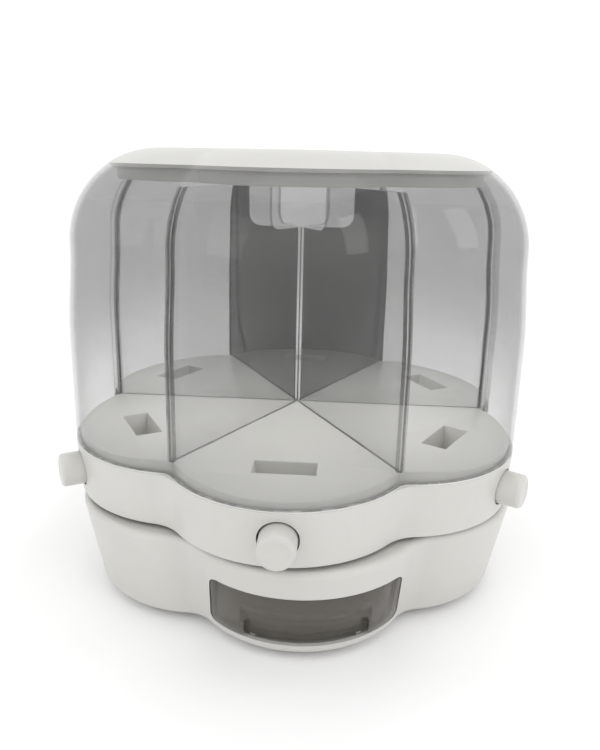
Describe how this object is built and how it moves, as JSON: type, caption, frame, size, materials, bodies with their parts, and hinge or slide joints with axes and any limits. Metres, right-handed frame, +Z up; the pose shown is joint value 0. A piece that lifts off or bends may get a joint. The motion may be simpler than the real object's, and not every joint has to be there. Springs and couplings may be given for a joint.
{
  "type": "rotating cereal dispenser",
  "caption": "Rotating dry-food dispenser: lobed clear tank with radial compartments on a turntable, push-button gates in its skirt, and a fixed base with a pull-out drawer.",
  "frame": {"origin": "on the turntable's axis, in the plane that the rubber feet stand on", "axes": "+Z up along the turntable's axis, the drawer faces -Y, +X to the right seen from the drawer"},
  "size_m": [0.3054, 0.325, 0.2746],
  "materials": {
    "white_plastic": "moulded white plastic with a soft gloss",
    "smoky_clear_tank": "polished clear plastic with a grey smoke tint",
    "clear_divider": "polished clear plastic, faint grey tint",
    "smoky_brown_drawer": "polished clear plastic with a brown smoke tint",
    "grey_plastic": "moulded grey acetal, matt",
    "zinc_steel": "zinc-plated steel",
    "ball_steel": "polished steel balls",
    "rubber_feet": "matt rubber",
    "silicone_seal": "translucent silicone rubber"
  },
  "bodies": {
    "base": {"base_shell": "white_plastic", "base_deck": "white_plastic", "drawer_bay": "white_plastic", "base_cover": "white_plastic", "cover_screws": "zinc_steel", "feet": "rubber_feet", "lower_race": "grey_plastic"},
    "bearing_cage": {"ball_cage": "grey_plastic", "bearing_balls": "ball_steel"},
    "turntable": {"tray": "white_plastic", "gate_retainer": "white_plastic", "retainer_screws": "zinc_steel", "upper_race": "grey_plastic", "spindle": "grey_plastic", "spindle_washer": "zinc_steel", "spindle_screw": "zinc_steel", "tank_seal": "silicone_seal", "tank": "smoky_clear_tank", "divider_star": "clear_divider", "gate_spring_1": "zinc_steel", "gate_spring_2": "zinc_steel", "gate_spring_3": "zinc_steel", "gate_spring_4": "zinc_steel", "gate_spring_5": "zinc_steel", "gate_spring_6": "zinc_steel"},
    "drawer_cup": {"drawer": "smoky_brown_drawer"},
    "lid": {"lid_shell": "white_plastic", "grip_cup": "white_plastic", "lid_seal": "silicone_seal"},
    "gate_1": {"gate_plate_1": "white_plastic", "button_1": "white_plastic"},
    "gate_2": {"gate_plate_2": "white_plastic", "button_2": "white_plastic"},
    "gate_3": {"gate_plate_3": "white_plastic", "button_3": "white_plastic"},
    "gate_4": {"gate_plate_4": "white_plastic", "button_4": "white_plastic"},
    "gate_5": {"gate_plate_5": "white_plastic", "button_5": "white_plastic"},
    "gate_6": {"gate_plate_6": "white_plastic", "button_6": "white_plastic"}
  },
  "joints": [
    {"name": "turntable_spin", "type": "hinge", "parent": "base", "child": "turntable", "pos_m": [0, 0, 0.0626], "axis": [0, 0, 1], "continuous": true},
    {"name": "cage_spin", "type": "hinge", "parent": "base", "child": "bearing_cage", "pos_m": [0, 0, 0.06865], "axis": [0, 0, 1], "continuous": true},
    {"name": "drawer_slide", "type": "slide", "parent": "base", "child": "drawer_cup", "axis": [0, -1, 0], "range_m": [0, 0.09]},
    {"name": "lid_lift", "type": "slide", "parent": "turntable", "child": "lid", "axis": [0, 0, 1], "range_m": [0, 0.06]},
    {"name": "gate_slide_1", "type": "slide", "parent": "turntable", "child": "gate_1", "axis": [0.1149, 0.9934, 0], "range_m": [0, 0.0115], "stiffness_N_per_m": 150, "springref_m": -0.004, "deforming": ["gate_spring_1"]},
    {"name": "gate_slide_2", "type": "slide", "parent": "turntable", "child": "gate_2", "axis": [-0.8028, 0.5962, 0], "range_m": [0, 0.0115], "stiffness_N_per_m": 150, "springref_m": -0.004, "deforming": ["gate_spring_2"]},
    {"name": "gate_slide_3", "type": "slide", "parent": "turntable", "child": "gate_3", "axis": [-0.9178, -0.3971, 0], "range_m": [0, 0.0115], "stiffness_N_per_m": 150, "springref_m": -0.004, "deforming": ["gate_spring_3"]},
    {"name": "gate_slide_4", "type": "slide", "parent": "turntable", "child": "gate_4", "axis": [-0.1149, -0.9934, 0], "range_m": [0, 0.0115], "stiffness_N_per_m": 150, "springref_m": -0.004, "deforming": ["gate_spring_4"]},
    {"name": "gate_slide_5", "type": "slide", "parent": "turntable", "child": "gate_5", "axis": [0.8028, -0.5962, 0], "range_m": [0, 0.0115], "stiffness_N_per_m": 150, "springref_m": -0.004, "deforming": ["gate_spring_5"]},
    {"name": "gate_slide_6", "type": "slide", "parent": "turntable", "child": "gate_6", "axis": [0.9178, 0.3971, 0], "range_m": [0, 0.0115], "stiffness_N_per_m": 150, "springref_m": -0.004, "deforming": ["gate_spring_6"]}
  ],
  "couplings": [
    {"joint": "cage_spin", "follows": "turntable_spin", "ratio": 0.5}
  ]
}
